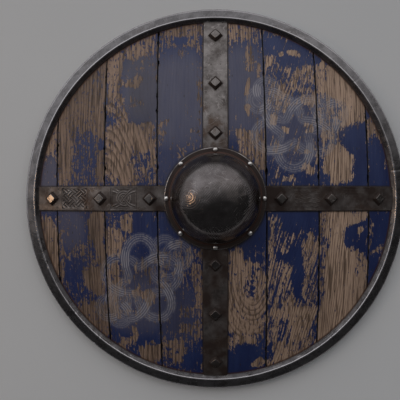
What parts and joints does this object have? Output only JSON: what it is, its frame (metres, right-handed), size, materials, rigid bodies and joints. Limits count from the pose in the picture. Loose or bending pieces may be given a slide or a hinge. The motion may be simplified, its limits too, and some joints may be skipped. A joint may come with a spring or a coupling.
{
  "type": "wooden round shield",
  "caption": "Round dished wooden shield of painted boards with a steel rim, crossed steel straps, lozenge studs and a domed steel boss, lying face up.",
  "frame": {"origin": "middle of the circle that the rim rests on, at the bottom of the part", "axes": "+Z out of the shield's face, +Y towards its top, +X to its right as the face is seen"},
  "size_m": [0.76, 0.76, 0.1602],
  "materials": {
    "painted_boards": "worn dark blue paint over weathered oak",
    "rim_steel": "hammered, darkened steel with bright worn edges",
    "strap_steel": "satin forged steel, pitted and stained",
    "stud_steel": "satin steel, dark round the foot",
    "boss_steel": "polished, dented and scratched steel with rust at the foot",
    "rivet_steel": "bright worn steel",
    "grip_wood": "bare ash, darkened in the hand"
  },
  "bodies": {
    "root": {"plank_1": "painted_boards", "plank_2": "painted_boards", "plank_3": "painted_boards", "plank_4": "painted_boards", "plank_5": "painted_boards", "plank_6": "painted_boards", "plank_7": "painted_boards", "plank_8": "painted_boards", "rim": "rim_steel", "boss": "boss_steel", "grip": "grip_wood", "strap_right": "strap_steel", "strap_top": "strap_steel", "strap_left": "strap_steel", "strap_bottom": "strap_steel", "stud_right_1": "stud_steel", "stud_right_2": "stud_steel", "stud_right_3": "stud_steel", "stud_top_1": "stud_steel", "stud_top_2": "stud_steel", "stud_top_3": "stud_steel", "stud_left_1": "stud_steel", "stud_left_2": "stud_steel", "stud_left_3": "stud_steel", "stud_bottom_1": "stud_steel", "stud_bottom_2": "stud_steel", "stud_bottom_3": "stud_steel", "boss_rivet_1": "rivet_steel", "boss_rivet_2": "rivet_steel", "boss_rivet_3": "rivet_steel", "boss_rivet_4": "rivet_steel", "boss_rivet_5": "rivet_steel", "boss_rivet_6": "rivet_steel", "boss_rivet_7": "rivet_steel", "boss_rivet_8": "rivet_steel"}
  },
  "joints": []
}
